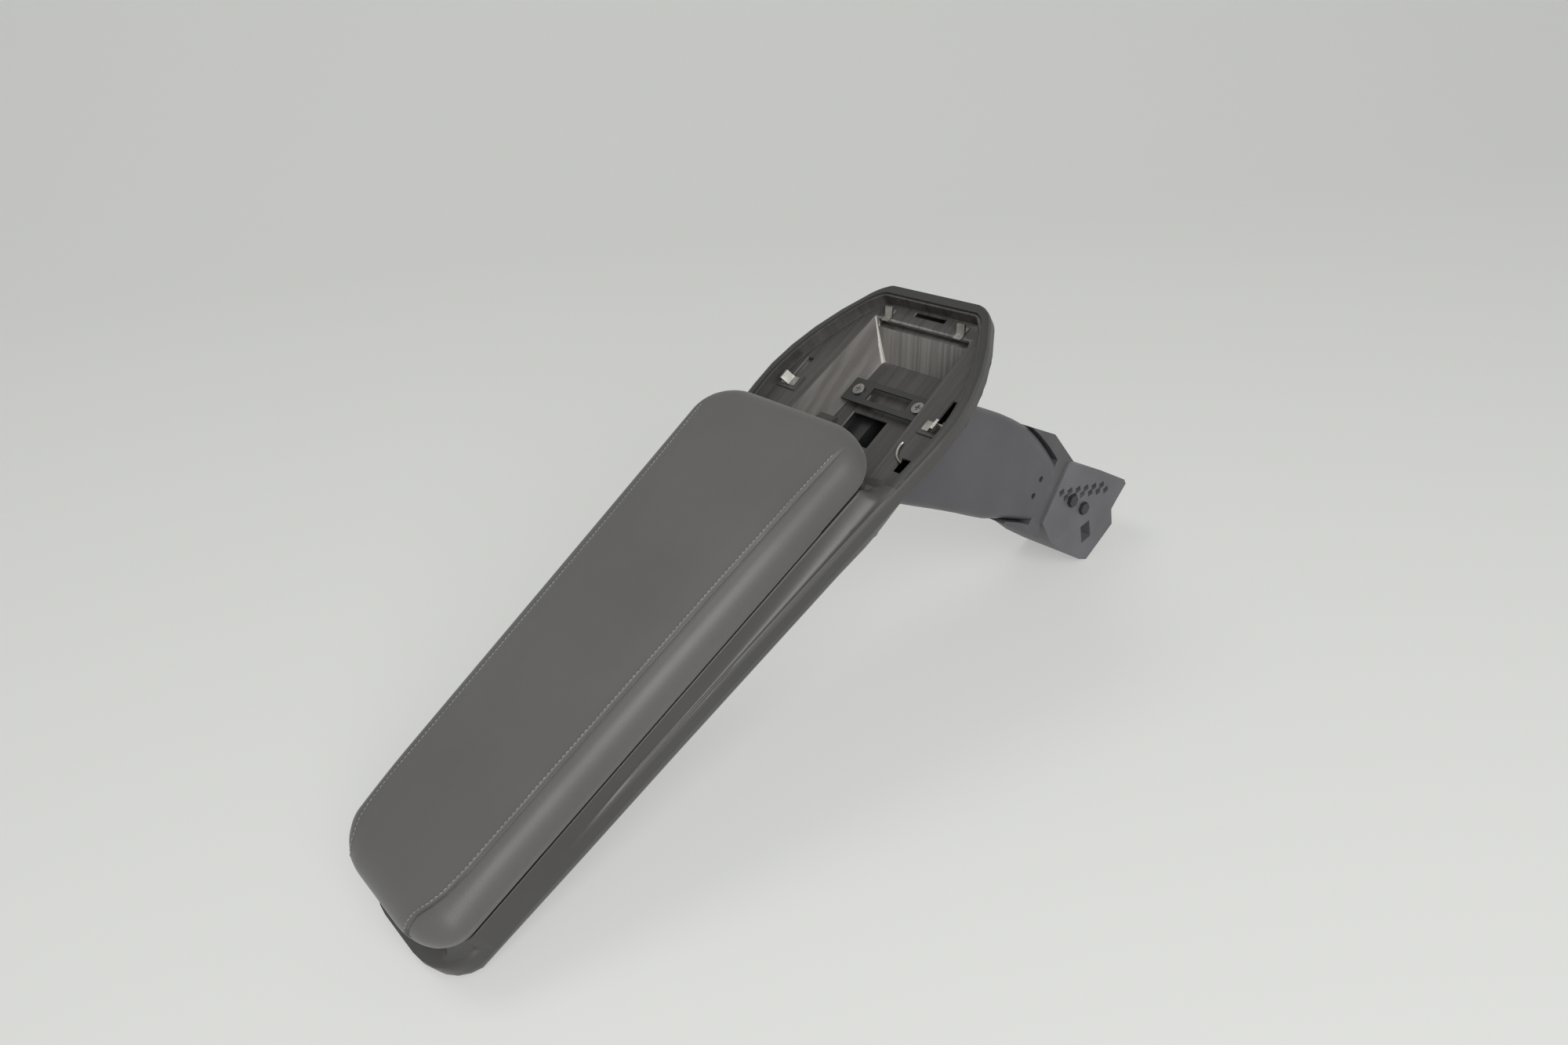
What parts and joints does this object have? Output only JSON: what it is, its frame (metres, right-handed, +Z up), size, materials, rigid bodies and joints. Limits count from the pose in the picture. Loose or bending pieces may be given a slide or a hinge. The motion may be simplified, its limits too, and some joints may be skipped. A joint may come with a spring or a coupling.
{
  "type": "car centre armrest",
  "caption": "Car centre armrest on a raked leg, with a padded hinged lid over a shallow tray, an open front pocket and a ribbed mounting foot.",
  "frame": {"origin": "middle of the foot's flat mounting face, between its two bolt holes", "axes": "+Z up out of the vehicle floor and square to the lid, +Y forward from the tail to the pocket, +X to the right side"},
  "size_m": [0.159, 0.542, 0.3158],
  "materials": {
    "leather": "fine-grained, semi-matt",
    "lid_plastic": "moulded, matt",
    "frame_plastic": "fine-textured, matt",
    "shell_plastic": "fine-textured, matt",
    "tray_plastic": "moulded, matt",
    "liner_plastic": "moulded, semi-gloss",
    "leg_plastic": "fine-textured, matt",
    "collar_plastic": "moulded, matt",
    "rubber": "matt",
    "mat_rubber": "ribbed, matt",
    "cast_foot": "cast, satin grey coat",
    "painted_steel": "black dip coat",
    "pressed_steel": "zinc plated",
    "spring_steel": "bright",
    "zinc_screws": "zinc plated"
  },
  "bodies": {
    "arm": {"hinge_pin": "zinc_screws", "hinge_bracket": "pressed_steel", "bracket_screws": "zinc_screws", "striker": "pressed_steel", "striker_screws": "zinc_screws", "upper_frame": "frame_plastic", "lower_shell": "shell_plastic", "shell_screws": "zinc_screws", "storage_tray": "tray_plastic", "tray_mat": "mat_rubber", "pocket_liner": "liner_plastic", "pocket_plate": "liner_plastic", "pocket_screws": "zinc_screws", "side_clips": "spring_steel", "front_clips": "spring_steel", "wire_spring": "spring_steel", "leg_core": "painted_steel", "core_bolts": "zinc_screws", "leg_cover_right": "leg_plastic", "leg_cover_left": "leg_plastic", "leg_collar": "collar_plastic", "foot_bracket": "cast_foot", "foot_cross_bolts": "zinc_screws"},
    "lid": {"lid_cushion": "leather", "lid_plate": "lid_plastic", "lid_plate_screws": "zinc_screws", "lid_buffers": "rubber", "hinge_leaf": "pressed_steel", "leaf_screws": "zinc_screws", "release_pin": "zinc_screws", "release_spring": "spring_steel"},
    "lever": {"release_lever": "frame_plastic"}
  },
  "joints": [
    {"name": "lid_hinge", "type": "hinge", "parent": "arm", "child": "lid", "pos_m": [0, -0.483, 0.283], "axis": [1, 0, 0], "range_deg": [0, 75]},
    {"name": "release_pivot", "type": "hinge", "parent": "lid", "child": "lever", "pos_m": [0, -0.162, 0.285], "axis": [1, 0, 0], "range_deg": [0, 10], "stiffness_Nm_per_rad": 0.1, "springref_deg": -5.73, "deforming": ["release_spring"]}
  ]
}
